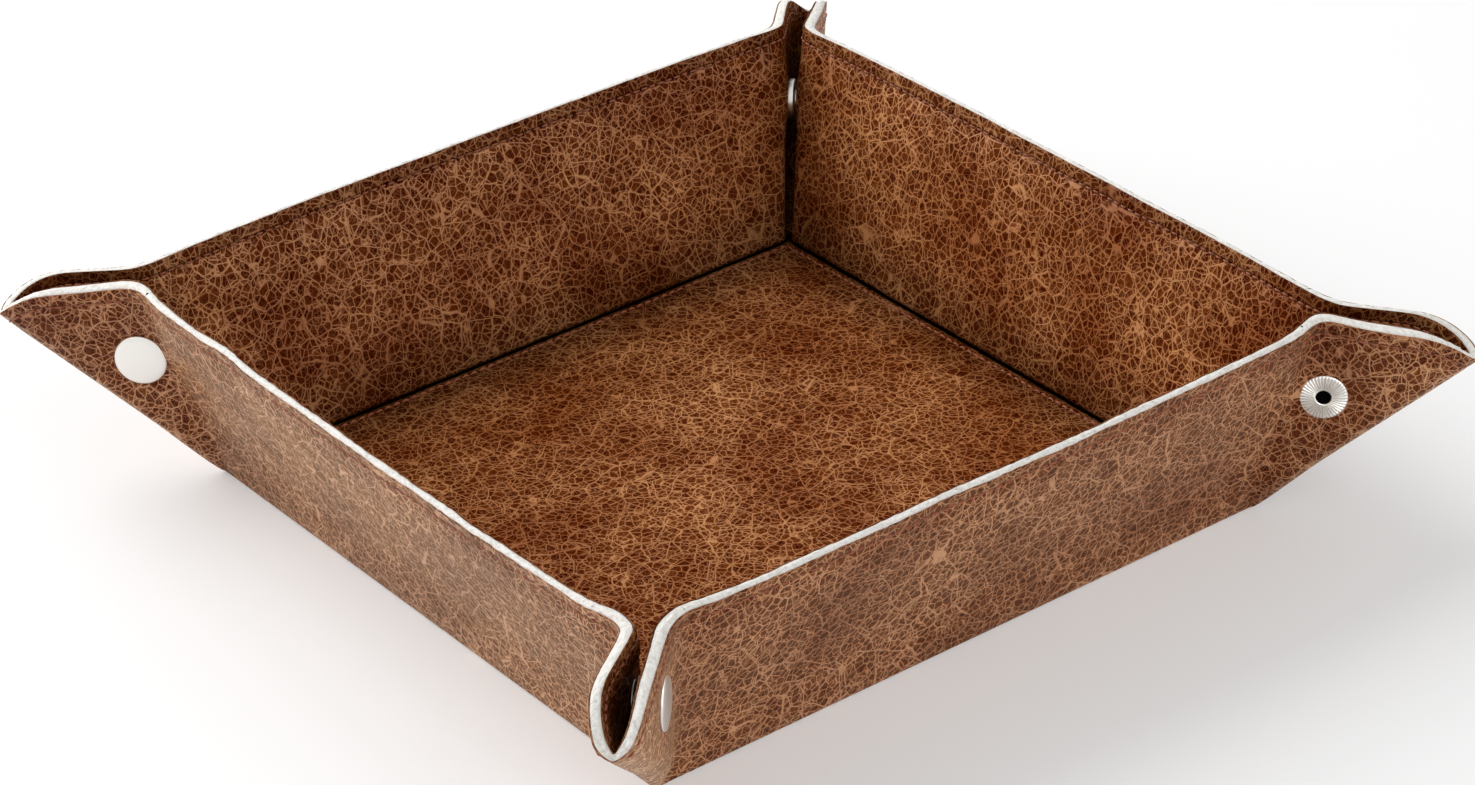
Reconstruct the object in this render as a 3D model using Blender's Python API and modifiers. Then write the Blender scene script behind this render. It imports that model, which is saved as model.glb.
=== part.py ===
# Foldable bread basket, in metres, +Z up.
# One square sheet of faux leather, felt and faux leather, folded up along four stitched seams
# round the base. Each corner is pinched into an ear and held by a ring snap.
# The origin is the centre of the underside. The standing walls are the rest position.
# Every panel is drawn flat, as the sheet is cut, and then folded about its own seam.

import math

import bmesh
import bpy
from mathutils import Matrix, Vector

# Sheet
BASE_SIDE = 0.200           # fold line to opposite fold line, on the underside
WALL_HEIGHT = 0.065         # up the slope, from fold line to cut edge
WALL_LEAN = math.radians(18)    # how far a standing wall leans out from upright
CORNER_RADIUS = 0.030       # rounded corners of the cut sheet
SKIN = 0.0005               # faux leather, inside and outside
CORE = 0.0030               # felt between the two skins
GLUE = 0.0001               # bond line between core and skin
SEAM_GAP = 0.0003           # between two panels that meet at a seam
FOOT_GAP = 0.0005           # from the foot of an ear to the seam's mitre, clear while it folds

# Ears
EAR_GAP = 0.0030            # between the inner faces of a snapped ear
RIM_WIDTH = 0.0080          # strip along the crease that bends in to close the ear
RIM_STEPS = 4
CREASE_RELIEF = math.radians(40)  # lean of the inner half of its edge, clear while it folds
ARC_STEPS = 5
ROUND_STEP = math.radians(18)

# Snap fasteners, which sit UP the ear from its base and OUT from the line between wall and ear
SNAP_UP = 0.0464
SNAP_OUT = 0.0100
SEAT_GAP = 0.0001           # between a pressed metal part and what it is clamped on
CAP_DIAMETER = 0.0150
CAP_RISE = 0.0019
CAP_RIM = 0.0008
BARREL_DIAMETER = 0.0040    # rivet barrel under the cap
BARREL_BORE = 0.0028
POST_DIAMETER = 0.0132      # flange that shows opposite the cap
POST_RISE = 0.0007
POST_BARREL = 0.0044
POST_BORE = 0.0038
SOCKET_DIAMETER = 0.0124
SOCKET_HEIGHT = 0.0020
SOCKET_BORE = 0.0067
STUD_DIAMETER = 0.0104
STUD_HEAD = 0.0062
STUD_HEIGHT = 0.0018
PLATE = 0.0004              # pressed sheet metal of the socket and the stud
FLARE = 0.0003              # thickness of a riveted barrel end
FLARE_WIDTH = 0.0005        # how far it spreads past the barrel
RUN_GAP = 0.00015           # round a barrel in its hole
SPRING_WIRE = 0.0004
SPRING_OPENING = math.radians(50)
TURN_STEPS = 20

# Values that follow from the sizes
HALF = BASE_SIDE / 2
SHEET = 2 * SKIN + 2 * GLUE + CORE
WALL_FOLD = math.pi / 2 - WALL_LEAN
FOLD_LINE = math.atan(math.sin(WALL_LEAN))      # lean of the ear's fold line in the flat sheet
EAR_FOLD = math.acos(math.cos(WALL_LEAN) / math.sqrt(2))
FOLD_FOOT = HALF - SHEET * math.sin(WALL_FOLD) - EAR_GAP / 2 * math.sqrt(2)
CORE_LEVEL = SKIN + GLUE
LAYERS = {
    "outer_skin": (0.0, SKIN),
    "core": (CORE_LEVEL, CORE_LEVEL + CORE),
    "inner_skin": (SHEET - SKIN, SHEET),
}
WALLS = ("front", "right", "back", "left")
CORNERS = ("front_right", "back_right", "back_left", "front_left")  # at the stud end of each wall
EARS = {"stud_ear": 1, "cap_ear": -1}


def empty_scene():
    for obj in list(bpy.data.objects):
        bpy.data.objects.remove(obj, do_unlink=True)


def new_collection(name):
    collection = bpy.data.collections.new(name)
    bpy.context.scene.collection.children.link(collection)
    return collection


def principled(name, colour, roughness, metallic=0.0):
    material = bpy.data.materials.new(name)
    material.use_nodes = True
    shader = material.node_tree.nodes["Principled BSDF"]
    shader.inputs["Base Color"].default_value = (*colour, 1.0)
    shader.inputs["Roughness"].default_value = roughness
    shader.inputs["Metallic"].default_value = metallic
    return material


def add_object(name, data, material, parent, collection):
    obj = bpy.data.objects.new(name, data)
    obj.parent = parent
    collection.objects.link(obj)
    if material:
        data.materials.append(material)
    return obj


def add_pivot(name, parent, location, rotation, collection):
    pivot = bpy.data.objects.new(name, None)
    pivot.empty_display_size = 0.01
    pivot.parent = parent
    pivot.location = location
    pivot.rotation_euler = rotation
    collection.objects.link(pivot)
    return pivot


def loft(sections):
    """Closed solid through outlines of equal point count, each given with its height."""
    bm = bmesh.new()
    rings = [[bm.verts.new((x, y, height)) for x, y in outline] for height, outline in sections]
    for lower, upper in zip(rings, rings[1:]):
        for i in range(len(lower)):
            j = (i + 1) % len(lower)
            bm.faces.new((lower[i], lower[j], upper[j], upper[i]))
    bm.faces.new(rings[0])
    bm.faces.new(rings[-1])
    bmesh.ops.recalc_face_normals(bm, faces=bm.faces)
    return bm


def to_mesh(bm, name, side=1):
    """Mesh from bm, seen in a mirror for the left-hand end of a wall."""
    if side < 0:
        bmesh.ops.scale(bm, vec=(-1, 1, 1), verts=bm.verts)
        bmesh.ops.reverse_faces(bm, faces=bm.faces)
    mesh = bpy.data.meshes.new(name)
    bm.to_mesh(mesh)
    bm.free()
    return mesh


def seam_setback(height):
    """Distance from a base fold line to a panel edge, mitred so that standing panels meet."""
    return SEAM_GAP / 2 / math.cos(WALL_FOLD / 2) + height * math.tan(WALL_FOLD / 2)


def ear_setback(height):
    """Distance along the wall from the ear's fold line to a panel edge, mitred likewise."""
    mitre = SEAM_GAP / 2 / math.cos(EAR_FOLD / 2) + (SHEET - height) * math.tan(EAR_FOLD / 2)
    return mitre / math.cos(FOLD_LINE)


def fold_line_x(up):
    return FOLD_FOOT + up * math.tan(FOLD_LINE)


def crease_setback(height, inset):
    """Distance from the diagonal to an ear half's edge: round outside, leaning back inside."""
    below = SHEET - min(height, SHEET / 2)
    rounding = SHEET - math.sqrt(max(0.0, (SHEET - inset) ** 2 - below ** 2))
    return rounding + max(0.0, height - SHEET / 2) * math.tan(CREASE_RELIEF)


def base_outline(height):
    edge = HALF - seam_setback(height)
    return [(-edge, -edge), (edge, -edge), (edge, edge), (-edge, edge)]


def wall_outline(height):
    """Flat wall: its fold line along X, its cut edge at -Y."""
    foot = seam_setback(height)
    lower = fold_line_x(foot) - ear_setback(height)
    upper = fold_line_x(WALL_HEIGHT) - ear_setback(height)
    return [(-upper, -WALL_HEIGHT), (upper, -WALL_HEIGHT), (lower, -foot), (-lower, -foot)]


def ear_outline(height, inset=0.0, spread=0.0):
    """Flat ear half about its fold line: fold line, cut edge, rounded corner, crease."""
    crease = crease_setback(height, inset)
    fold = ear_setback(height) - spread
    lean = math.tan(FOLD_LINE)
    foot = (FOLD_FOOT + fold - HALF + crease * math.sqrt(2)) / (1 - lean)
    radius = CORNER_RADIUS + spread
    centre = WALL_HEIGHT - CORNER_RADIUS
    top = WALL_HEIGHT + spread
    points = [(fold_line_x(foot) + fold, -foot), (fold_line_x(top) + fold, -top)]
    last = math.acos(-crease / radius) - math.pi / 4
    for i in range(ARC_STEPS + 1):
        angle = math.pi / 2 + (last - math.pi / 2) * i / ARC_STEPS
        points.append((HALF + centre + radius * math.cos(angle), -centre - radius * math.sin(angle)))
    return [tuple(to_ear(x, y)) for x, y in points]


def to_ear(x, y):
    """Point of the flat wall, measured from the ear's fold line."""
    return Matrix.Rotation(-FOLD_LINE, 2) @ Vector((x - FOLD_FOOT, y))


def bend_rim(bm):
    """Bend the strip along the crease inwards until the two halves of the ear meet."""
    corner = to_ear(HALF, 0).to_3d()
    inwards = (Matrix.Rotation(-FOLD_LINE, 2) @ Vector((-1, -1)).normalized()).to_3d()
    for i in range(1, RIM_STEPS + 1):
        line = corner + inwards * RIM_WIDTH * i / RIM_STEPS
        geometry = bm.verts[:] + bm.edges[:] + bm.faces[:]
        bmesh.ops.bisect_plane(bm, geom=geometry, plane_co=line, plane_no=inwards)
    for vert in bm.verts:
        reach = (vert.co - corner).dot(inwards) / RIM_WIDTH
        if reach < 1:
            rise = (1 + math.cos(math.pi * max(0.0, reach))) / 2
            vert.co.z += (EAR_GAP - SEAM_GAP) / 2 * rise


def trim_at_base(bm):
    """Cut the foot of a folded ear half off along the mitre of its wall's seam."""
    ear = ear_matrix(1)
    back = ear.inverted()
    normal = Vector((0, math.cos(WALL_FOLD / 2), math.sin(WALL_FOLD / 2)))
    point = back @ (-normal * FOOT_GAP)
    geometry = bm.verts[:] + bm.edges[:] + bm.faces[:]
    direction = back.to_3x3() @ normal
    bmesh.ops.bisect_plane(bm, geom=geometry, plane_co=point, plane_no=direction, clear_outer=True)
    rim = [edge for edge in bm.edges if edge.is_boundary]
    bmesh.ops.holes_fill(bm, edges=rim, sides=0)
    bmesh.ops.recalc_face_normals(bm, faces=bm.faces)


def ear_matrix(side):
    turn = Matrix.Rotation(side * FOLD_LINE, 4, "Z") @ Matrix.Rotation(side * EAR_FOLD, 4, "Y")
    return Matrix.Translation((side * FOLD_FOOT, 0, SHEET)) @ turn


def round_heights(bottom, top, inset):
    """Heights of the sections that draw the round edge, at equal angles."""
    heights = [bottom]
    angle = ROUND_STEP
    while bottom < SHEET / 2 and SHEET - (SHEET - inset) * math.cos(angle) < SHEET / 2:
        heights.append(SHEET - (SHEET - inset) * math.cos(angle))
        angle += ROUND_STEP
    if bottom < SHEET / 2:
        heights.append(SHEET / 2)
    return heights + [top]


def ear_solid(bottom, top, inset=0.0, spread=0.0):
    """Ear half between two heights of the sheet, with its inner face at zero."""
    heights = round_heights(bottom, top, inset)
    bm = loft([(height - SHEET, ear_outline(height, inset, spread)) for height in heights])
    bend_rim(bm)
    return bm


def make_panel(name, outline, layer, material, parent, collection):
    bottom, top = LAYERS[layer]
    bm = loft([(bottom, outline(bottom)), (top, outline(top))])
    return add_object(name, to_mesh(bm, name), material, parent, collection)


def make_ear(prefix, side, materials, parent, collection, cutters):
    """Three layers of one ear half, with the outer skin turned in round the crease."""
    hole = make_hole_cutter(prefix, side, parent, cutters)
    for layer, (bottom, top) in LAYERS.items():
        name = f"{prefix}_{layer}"
        if layer == "outer_skin":
            bm = ear_solid(bottom, SHEET)
        else:
            bm = ear_solid(bottom, top, inset=SKIN + GLUE)
        trim_at_base(bm)
        obj = add_object(name, to_mesh(bm, name, side), materials[layer], parent, collection)
        if layer == "outer_skin":
            pocket = ear_solid(SKIN, SHEET + CORE, inset=SKIN, spread=CORE)
            cutter = add_cutter(f"{prefix}_pocket", to_mesh(pocket, name, side), parent, cutters)
            subtract(obj, cutter)
        subtract(obj, hole)


def add_cutter(name, mesh, parent, cutters):
    cutter = add_object(name, mesh, None, parent, cutters)
    cutter.hide_render = True
    cutter.display_type = "WIRE"
    return cutter


def subtract(obj, cutter):
    cut = obj.modifiers.new("Cut", "BOOLEAN")
    cut.operation = "DIFFERENCE"
    cut.solver = "EXACT"
    cut.object = cutter


def make_hole_cutter(prefix, side, parent, cutters):
    bm = bmesh.new()
    barrel = POST_BARREL if side == EARS["stud_ear"] else BARREL_DIAMETER
    radius = barrel / 2 + RUN_GAP
    bmesh.ops.create_cone(bm, cap_ends=True, segments=TURN_STEPS, radius1=radius, radius2=radius,
                          depth=3 * SHEET)
    cutter = add_cutter(f"{prefix}_hole", to_mesh(bm, prefix), parent, cutters)
    cutter.location = (side * SNAP_OUT, -SNAP_UP, -SHEET / 2)
    return cutter


def turned(name, profile, closed, material, parent, place, flip, collection):
    """Solid of revolution. The profile runs down its outer side; flip points it outwards."""
    mesh = bpy.data.meshes.new(name)
    edges = [(i, i + 1) for i in range(len(profile) - 1)]
    if closed:
        edges.append((len(profile) - 1, 0))
    mesh.from_pydata([(radius, 0, height) for radius, height in profile], edges, [])
    obj = add_object(name, mesh, material, parent, collection)
    obj.location = place
    obj.rotation_euler = (math.pi if flip else 0, 0, 0)
    screw = obj.modifiers.new("Turn", "SCREW")
    screw.steps = screw.render_steps = TURN_STEPS
    screw.use_merge_vertices = True
    screw.merge_threshold = 0.00001
    screw.use_smooth_shade = True
    return obj


def cap_profile():
    """Smooth domed cap with its rivet barrel, from the outer face of the ear."""
    radius = CAP_DIAMETER / 2
    barrel = BARREL_DIAMETER / 2
    seat = -SHEET - 2 * SEAT_GAP - PLATE - SEAT_GAP
    end = seat - FLARE
    bore = BARREL_BORE / 2
    dome = []
    for step in range(5):
        angle = math.pi / 2 * step / 4
        dome.append((radius * math.sin(angle), CAP_RIM + (CAP_RISE - CAP_RIM) * math.cos(angle)))
    under = [(radius * 0.96, SEAT_GAP), (barrel, SEAT_GAP), (barrel, seat)]
    rivet = [(barrel + FLARE_WIDTH, seat), (barrel + FLARE_WIDTH, end), (bore, end)]
    return dome + under + rivet + [(bore, -SKIN), (0, -SKIN)]


def socket_profile():
    """Socket with an inward lip, from the inner face of the ear."""
    radius = SOCKET_DIAMETER / 2
    bore = SOCKET_BORE / 2
    hole = BARREL_DIAMETER / 2 + RUN_GAP
    top = SEAT_GAP + SOCKET_HEIGHT
    floor = SEAT_GAP + PLATE
    shoulder = top - PLATE
    inside = radius - 2 * PLATE
    return [(radius - PLATE, top), (radius, shoulder), (radius, SEAT_GAP), (hole, SEAT_GAP),
            (hole, floor), (inside, floor), (inside, shoulder), (bore, shoulder), (bore, top)]


def stud_profile():
    """Hollow stud on its brim, from the inner face of the other ear."""
    brim = STUD_DIAMETER / 2
    head = STUD_HEAD / 2
    hole = POST_BARREL / 2 + RUN_GAP
    top = SEAT_GAP + STUD_HEIGHT
    floor = SEAT_GAP + PLATE
    inside = head - PLATE
    mouth = inside - PLATE
    return [(mouth, top), (head - PLATE / 2, top), (head, top - PLATE), (head - PLATE / 2, floor),
            (brim, floor), (brim, SEAT_GAP), (hole, SEAT_GAP), (hole, floor), (inside, floor + PLATE / 4),
            (inside, top - PLATE), (mouth, top - PLATE)]


def post_profile():
    """Flanged hollow post, from the outer face of the other ear, riveted inside the stud."""
    radius = POST_DIAMETER / 2
    barrel = POST_BARREL / 2
    bore = POST_BORE / 2
    seat = -SHEET - 2 * SEAT_GAP - PLATE - SEAT_GAP
    end = seat - FLARE
    spread = STUD_HEAD / 2 - PLATE - RUN_GAP
    return [(bore, POST_RISE), (radius * 0.94, POST_RISE), (radius, POST_RISE - SKIN / 2),
            (radius, SEAT_GAP), (barrel, SEAT_GAP), (barrel, seat), (spread, seat), (spread, end),
            (bore, end)]


def make_spring(name, material, parent, place, collection):
    """Split ring of spring wire inside the socket, round the head of the stud."""
    curve = bpy.data.curves.new(name, "CURVE")
    curve.dimensions = "3D"
    curve.bevel_depth = SPRING_WIRE / 2
    curve.bevel_resolution = 1
    curve.use_fill_caps = True
    spline = curve.splines.new("POLY")
    spline.points.add(TURN_STEPS - 1)
    radius = STUD_HEAD / 2 + RUN_GAP + SPRING_WIRE
    height = SEAT_GAP + SOCKET_HEIGHT - PLATE - RUN_GAP - SPRING_WIRE / 2
    for i, point in enumerate(spline.points):
        angle = SPRING_OPENING / 2 + (2 * math.pi - SPRING_OPENING) * i / (TURN_STEPS - 1)
        point.co = (radius * math.cos(angle), radius * math.sin(angle), height, 1)
    obj = add_object(name, curve, material, parent, collection)
    obj.location = place
    weld = obj.modifiers.new("Weld", "WELD")
    weld.merge_threshold = 0.000001
    return obj


def make_snap_half(ear, corner, parent, metals, collection):
    """Cap, socket and spring on one ear half, or post and stud on the other."""
    side = EARS[ear]
    inner = (side * SNAP_OUT, -SNAP_UP, 0)
    outer = (side * SNAP_OUT, -SNAP_UP, -SHEET)
    if ear == "cap_ear":
        turned(f"snap_cap_{corner}", cap_profile(), False, metals["cap"], parent, outer, True, collection)
        turned(f"snap_socket_{corner}", socket_profile(), True, metals["ring"], parent, inner, False,
               collection)
        make_spring(f"snap_spring_{corner}", metals["ring"], parent, inner, collection)
    else:
        turned(f"snap_post_{corner}", post_profile(), True, metals["ring"], parent, outer, True,
               collection)
        turned(f"snap_stud_{corner}", stud_profile(), True, metals["ring"], parent, inner, False,
               collection)


def make_wall(index, materials, metals, collection, cutters):
    """One wall folded up about its seam, with an ear half folded back at each end."""
    wall = WALLS[index]
    turn = index * math.pi / 2
    seam = Matrix.Rotation(turn, 3, "Z") @ Vector((0, -HALF, 0))
    frame = add_pivot(f"{wall}_seam", None, seam, (0, 0, turn), collection)
    hinge = add_pivot(f"{wall}_wall_fold", frame, (0, 0, 0), (-WALL_FOLD, 0, 0), collection)
    for layer in LAYERS:
        make_panel(f"{wall}_wall_{layer}", wall_outline, layer, materials[layer], hinge, collection)
    for ear, side in EARS.items():
        pivot = add_pivot(f"{wall}_{ear}_fold", hinge, (side * FOLD_FOOT, 0, SHEET),
                          (0, side * EAR_FOLD, side * FOLD_LINE), collection)
        make_ear(f"{wall}_{ear}", side, materials, pivot, collection, cutters)
        corner = CORNERS[index] if side > 0 else CORNERS[index - 1]
        make_snap_half(ear, corner, pivot, metals, collection)


def make_basket():
    basket = new_collection("foldable_bread_basket")
    cutters = new_collection("cutters")
    leather_out = principled("faux leather outside", (0.27, 0.13, 0.065), 0.55)
    leather_in = principled("faux leather inside", (0.16, 0.055, 0.018), 0.5)
    felt = principled("white felt", (0.84, 0.80, 0.75), 0.95)
    nickel = principled("satin nickel", (0.72, 0.70, 0.67), 0.3, 1.0)
    pressed = principled("pressed nickel", (0.62, 0.59, 0.55), 0.35, 1.0)
    materials = {"outer_skin": leather_out, "core": felt, "inner_skin": leather_in}
    metals = {"cap": nickel, "ring": pressed}
    for layer in LAYERS:
        make_panel(f"base_{layer}", base_outline, layer, materials[layer], None, basket)
    for index in range(len(WALLS)):
        make_wall(index, materials, metals, basket, cutters)


empty_scene()
make_basket()
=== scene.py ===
# Looks of the foldable bread basket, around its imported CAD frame.
# One sheet of padded faux leather is folded up along a stitched square. Each corner is pinched
# into an ear and held by a ring snap. Sizes are in millimetres until a mesh is made.

import bpy
import numpy as np
from mathutils import Matrix, Vector


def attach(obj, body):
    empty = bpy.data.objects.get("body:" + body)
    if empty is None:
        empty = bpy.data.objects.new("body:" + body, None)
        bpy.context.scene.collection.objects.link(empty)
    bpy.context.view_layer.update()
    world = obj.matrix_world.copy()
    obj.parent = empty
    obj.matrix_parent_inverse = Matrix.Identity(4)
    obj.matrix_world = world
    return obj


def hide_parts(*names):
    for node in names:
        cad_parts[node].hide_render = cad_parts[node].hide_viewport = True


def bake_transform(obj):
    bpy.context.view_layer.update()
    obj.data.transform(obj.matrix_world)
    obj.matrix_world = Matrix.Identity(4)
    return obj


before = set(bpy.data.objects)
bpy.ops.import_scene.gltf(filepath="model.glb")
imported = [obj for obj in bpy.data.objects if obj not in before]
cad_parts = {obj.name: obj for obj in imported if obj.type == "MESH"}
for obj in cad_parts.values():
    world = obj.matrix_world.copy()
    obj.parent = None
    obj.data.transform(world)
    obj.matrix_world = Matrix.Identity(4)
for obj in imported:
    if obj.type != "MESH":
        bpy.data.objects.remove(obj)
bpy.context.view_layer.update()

metre = 0.001
tiny = 1e-6
walls = ["front", "right", "back", "left"]
corners = ["front_right", "back_right", "back_left", "front_left"]    # at the stud end of each wall

# The sheet and its folds
sheet = {
    "baseSide": 200.0,
    "wallHeight": 65.0,        # up the slope, from seam to cut edge
    "wallLean": 18.0,          # degrees outwards from upright
    "thickness": 4.2,
    "cornerRadius": 30.0,
    "skin": 0.5,
    "glue": 0.1,
    "seamGap": 0.02,
    "mitreReach": 8.0,         # over how much of its foot a face runs up to the mitre at a seam
    "grooveDepth": 2.7,        # how far the inside dips at a base seam
    "grooveWidth": 4.0,
    "bottomRound": 1.0,        # rounding of the outer bottom edge
    "bottomDip": 0.24,         # and how deep it goes
    "bottomRoll": 2.1,         # how far the padding rolls out past the seam
    "rollReach": 13.0,
    "rimReach": 8.0,           # how far down the rim stitching flattens the sheet
    "dentReach": 15.0,         # how far down a dent in the rim goes
    "stitchInset": 3.7,        # from the cut edge to the rim stitches
    "stitchRow": 0.8,          # half width of the dip that the stitches pull
    "stitchDimple": 0.22,
    "stitchPitch": 3.0,
    "seamBend": 3.2,           # across how much of a wall's foot the sheet bends as it folds
    "bowPower": 1.5,           # how the wall's bow grows up the slope
    "bowEnds": (0.3, 4),       # how the bow's span widens up the slope, and how flat its middle is
}

# Hand-guided sewing flattens the rim unevenly: how much, and the size and rate of its waves. The
# pucker is its middle and how far it varies from stitch to stitch.
sewing = {"unevenness": 1.4, "ripple": (0.12, 0.9), "drift": (2.0, 0.31), "swell": (0.1, 0.23),
          "pucker": (0.6, 0.4)}

# How each ear is pinched. In a pair of numbers a change starts at the first and runs over the
# second. Gaps and edges that follow the ear's depth go by tau, 0 at its mouth and 1 at its crease.
ears = {
    "border": -16.0,           # flat distance from the fold line to the wall's own panel
    "footGap": 1.1,            # half gap between the inner faces, at the foot
    "mouthGrowth": 0.021,      # and how fast it opens up the ear
    "lensBulge": 0.9,
    "lensPower": 4.0,
    "slitEnd": (0.75, 0.25),   # tau over which the slit narrows to the crease
    "slitTaper": 0.75,
    "snapGap": 1.5,            # half gap where the snap holds it
    "snapUp": 46.4,
    "snapOut": 10.0,
    "snapReach": 10.0,
    "noseRadius": 5.0,         # of the outside where it turns round the crease
    "noseSpan": (0.6, 0.1),    # the most of the ear's depth that it takes, and that depth at least
    "noseInside": 0.3,
    "noseArc": (1.4, 0.4),     # length of its arc, and how far that runs past the straight, in radii
    "noseLimits": (0.02, 0.9),
    "noseThinning": 1.4,
    "noseRamp": (0.45, 0.55),  # tau
    "tipSetback": 1.3,
    "tipRamp": (0.0, 25.0),    # up the ear
    "footTaper": 0.5,
    "skewOut": (0.0, 0.6),     # tau over which a fold's skew fades
    "skewUp": (15.0, 50.0),    # up the ear, where it comes in
    "foldSoftness": (0.15, 68.0, 1.1),    # at the foot, height for one more, and at most
    "foldReach": 8.0,          # from the base corner, where the fold is sharp
    "foldBend": 6.5,           # to each side of the fold line the sheet bends over this
    "creaseLap": 0.5,          # how far each half's inside runs past the crease
    "lapFrom": 0.5,            # tau
    "lapPlay": 0.04,
    "creaseReach": 3.0,        # how near the crease the foot's mitre also moves out along it
    "footLap": 0.5,            # how far the foot sinks into the base at the corner
    "footReach": 6.0,
    "flat": 0.2,               # how much each face is flattened at the rim
    "flatRamp": (92.0, 22.0),  # along the wall
    "rollRamp": (88.0, 12.0),  # along the wall, where the bottom roll turns up the ear
    "rollHeight": 57.0,
}

# Small differences between the corners and walls of a sewn piece: bow and rise of the rim's
# middle, how much each face is flattened there, rounding and skew of each ear's fold, and dents
# in the rim as place along it, width and depth
habits = {
    "front": {"bow": 2.6, "rise": 1.1, "flat": 0.8, "stud": (2.0, -3.8), "cap": (5.0, 0.0),
              "dents": [(-107, 7, -0.9), (-62, 9, -0.9), (12, 20, 0.2), (54, 6, 0.3), (110, 6, -1.2)]},
    "right": {"bow": 2.6, "rise": 1.1, "flat": 0.75, "stud": (3.5, 0.0), "cap": (6.0, 2.0),
              "dents": [(-103, 6, -0.7), (-78, 8, 0.2), (-22, 12, -0.4), (20, 14, 0.3), (110, 8, -2.0)]},
    "back": {"bow": 2.0, "rise": 1.1, "flat": 0.7, "stud": (4.0, 0.0), "cap": (4.0, 0.0),
             "dents": [(-112, 10, 1.2), (-40, 10, -0.4), (35, 14, 0.4)]},
    "left": {"bow": 2.8, "rise": 1.1, "flat": 0.7, "stud": (4.0, 0.0), "cap": (4.0, 0.0),
             "dents": [(-104, 7, 1.1), (-50, 14, -0.4), (48, 12, 0.2)]},
}

half = sheet["baseSide"] / 2
cornerStart = half + sheet["wallHeight"] - sheet["cornerRadius"]    # where the flat cut's corner begins
lean = np.radians(sheet["wallLean"])
foldLean = np.arctan(np.sin(lean))                 # lean of an ear's fold line in the flat sheet
earFold = np.arccos(np.cos(lean) / np.sqrt(2))     # angle that an ear half is folded by
creaseSlope = np.tan(np.pi / 4 - foldLean)
mitre = np.tan((np.pi / 2 - lean) / 2)
foldFoot = half - sheet["thickness"] * np.cos(lean) - ears["snapGap"] * np.sqrt(2)

# Unit directions on the front wall and its right-hand ear, and the corner that they start from
alongX = np.array([1.0, 0.0, 0.0])
upWall = np.array([0.0, -np.sin(lean), np.cos(lean)])
intoWall = np.array([0.0, np.cos(lean), np.sin(lean)])
alongFold = np.cos(foldLean) * upWall + np.sin(foldLean) * alongX
offPlane = np.array([-1.0, -1.0, 0.0]) / np.sqrt(2)
outEar = np.cross(alongFold, offPlane)
cornerPoint = np.array([half, -half, 0.0])
hingePoint = np.array([foldFoot, -half + sheet["thickness"] * np.cos(lean),
                       sheet["thickness"] * np.sin(lean)])


def smoothMax(a, b, width):
    # larger of a and b, rounded off over width where they cross
    near = np.maximum(width - np.abs(a - b), 0) / width
    return np.maximum(a, b) + near * near * width / 4


def smoothStep(value, start, span):
    # 0 before start, 1 past start plus span, and an S curve between
    t = np.clip((value - start) / span, 0, 1)
    return t * t * (3 - 2 * t)


def edgeDistance(seamX, h):
    # flat distance from the cut edge, round its corner too
    centre = sheet["wallHeight"] - sheet["cornerRadius"]
    atCorner = sheet["cornerRadius"] - np.hypot(np.abs(seamX) - cornerStart, np.maximum(h - centre, 0))
    return np.where(np.abs(seamX) < cornerStart, sheet["wallHeight"] - h, atCorner)


def rimLine(s, inset=0.0):
    # cut edge, or a line inset from it, for s from 0 at the wall's middle to 1 at the crease
    radius = sheet["cornerRadius"] - inset
    length = s * (cornerStart + radius * np.pi / 4)
    angle = np.clip((length - cornerStart) / radius, 0, np.pi / 4)
    seamX = np.minimum(length, cornerStart) + radius * np.sin(angle)
    h = sheet["wallHeight"] - sheet["cornerRadius"] + radius * np.cos(angle)
    return seamX, h


def lensShape(gap, tau):
    # half gap from the mouth of an ear to its crease: it swells, then closes as a power of tau
    return gap * (1 - tau ** ears["lensPower"]) * (1 + ears["lensBulge"] * tau)


def earGap(a, x, gap, tau):
    # half gap between the inner faces: the lens, drawn in round the snap, over a slit that
    # narrows to the crease. Also how firmly the snap holds each point, 0 to 1.
    snapA = ears["snapUp"]
    snapX = ears["snapOut"] + (foldFoot - half) * np.cos(foldLean)
    snapGap = ears["footGap"] + ears["mouthGrowth"] * snapA
    snapMouth = snapGap / np.sin(earFold)
    snapTau = (snapX + snapMouth) / (snapA * creaseSlope + snapMouth)
    held = np.exp(-(((a - snapA) ** 2 + (x - snapX) ** 2) / ears["snapReach"] ** 2) ** 2)
    inner = lensShape(gap, tau) + (ears["snapGap"] - lensShape(snapGap, snapTau)) * held
    slit = ears["footGap"] * (1 - ears["slitTaper"] * smoothStep(tau, *ears["slitEnd"]))
    return np.maximum(inner, slit), held


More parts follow.
